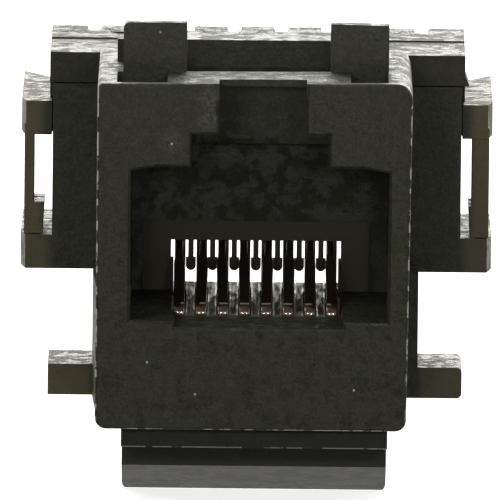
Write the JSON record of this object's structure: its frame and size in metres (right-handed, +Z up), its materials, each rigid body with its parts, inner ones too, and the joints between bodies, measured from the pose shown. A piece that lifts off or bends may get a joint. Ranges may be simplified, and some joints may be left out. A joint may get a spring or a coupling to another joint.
{
  "type": "keystone jack",
  "caption": "Black snap-in network jack with a plug port and sprung contacts at the front, a release latch below, and a rear wiring block under a clear dust cap.",
  "frame": {"origin": "centre of the nose's front face", "axes": "+X to the viewer's right, +Y back into the jack, +Z up; the plug goes in along +Y"},
  "size_m": [0.0218, 0.0247, 0.0228],
  "materials": {
    "black_plastic": "satin",
    "insert_plastic": "satin",
    "clear_plastic": "clear, polished",
    "gold_wire": "gold plated",
    "tinned_terminal": "tinned",
    "board": "solder mask"
  },
  "bodies": {
    "jack": {"front_housing": "black_plastic", "contact_carrier": "insert_plastic", "circuit_board": "board", "wiring_block": "black_plastic", "contact_lead_1": "gold_wire", "contact_lead_2": "gold_wire", "contact_lead_3": "gold_wire", "contact_lead_4": "gold_wire", "contact_lead_5": "gold_wire", "contact_lead_6": "gold_wire", "contact_lead_7": "gold_wire", "contact_lead_8": "gold_wire", "idc_terminal_1": "tinned_terminal", "idc_terminal_2": "tinned_terminal", "idc_terminal_3": "tinned_terminal", "idc_terminal_4": "tinned_terminal", "idc_terminal_5": "tinned_terminal", "idc_terminal_6": "tinned_terminal", "idc_terminal_7": "tinned_terminal", "idc_terminal_8": "tinned_terminal"},
    "latch": {"release_latch": "black_plastic"},
    "cap": {"dust_cap": "clear_plastic"},
    "spring_1": {"contact_spring_1": "gold_wire"},
    "spring_2": {"contact_spring_2": "gold_wire"},
    "spring_3": {"contact_spring_3": "gold_wire"},
    "spring_4": {"contact_spring_4": "gold_wire"},
    "spring_5": {"contact_spring_5": "gold_wire"},
    "spring_6": {"contact_spring_6": "gold_wire"},
    "spring_7": {"contact_spring_7": "gold_wire"},
    "spring_8": {"contact_spring_8": "gold_wire"}
  },
  "joints": [
    {"name": "latch_press", "type": "hinge", "parent": "jack", "child": "latch", "pos_m": [0, 0.0024, -0.00835], "axis": [1, 0, 0], "range_deg": [0, 9], "stiffness_Nm_per_rad": 0.3},
    {"name": "cap_lift", "type": "slide", "parent": "jack", "child": "cap", "axis": [0, 0, 1], "range_m": [0, 0.006]},
    {"name": "contact_1_press", "type": "hinge", "parent": "jack", "child": "spring_1", "pos_m": [-0.0035, 0.0052, -0.0033], "axis": [-1, 0, 0], "range_deg": [0, 8], "stiffness_Nm_per_rad": 0.04},
    {"name": "contact_2_press", "type": "hinge", "parent": "jack", "child": "spring_2", "pos_m": [-0.0025, 0.0052, -0.0033], "axis": [-1, 0, 0], "range_deg": [0, 8], "stiffness_Nm_per_rad": 0.04},
    {"name": "contact_3_press", "type": "hinge", "parent": "jack", "child": "spring_3", "pos_m": [-0.0015, 0.0052, -0.0033], "axis": [-1, 0, 0], "range_deg": [0, 8], "stiffness_Nm_per_rad": 0.04},
    {"name": "contact_4_press", "type": "hinge", "parent": "jack", "child": "spring_4", "pos_m": [-0.0005, 0.0052, -0.0033], "axis": [-1, 0, 0], "range_deg": [0, 8], "stiffness_Nm_per_rad": 0.04},
    {"name": "contact_5_press", "type": "hinge", "parent": "jack", "child": "spring_5", "pos_m": [0.0005, 0.0052, -0.0033], "axis": [-1, 0, 0], "range_deg": [0, 8], "stiffness_Nm_per_rad": 0.04},
    {"name": "contact_6_press", "type": "hinge", "parent": "jack", "child": "spring_6", "pos_m": [0.0015, 0.0052, -0.0033], "axis": [-1, 0, 0], "range_deg": [0, 8], "stiffness_Nm_per_rad": 0.04},
    {"name": "contact_7_press", "type": "hinge", "parent": "jack", "child": "spring_7", "pos_m": [0.0025, 0.0052, -0.0033], "axis": [-1, 0, 0], "range_deg": [0, 8], "stiffness_Nm_per_rad": 0.04},
    {"name": "contact_8_press", "type": "hinge", "parent": "jack", "child": "spring_8", "pos_m": [0.0035, 0.0052, -0.0033], "axis": [-1, 0, 0], "range_deg": [0, 8], "stiffness_Nm_per_rad": 0.04}
  ]
}
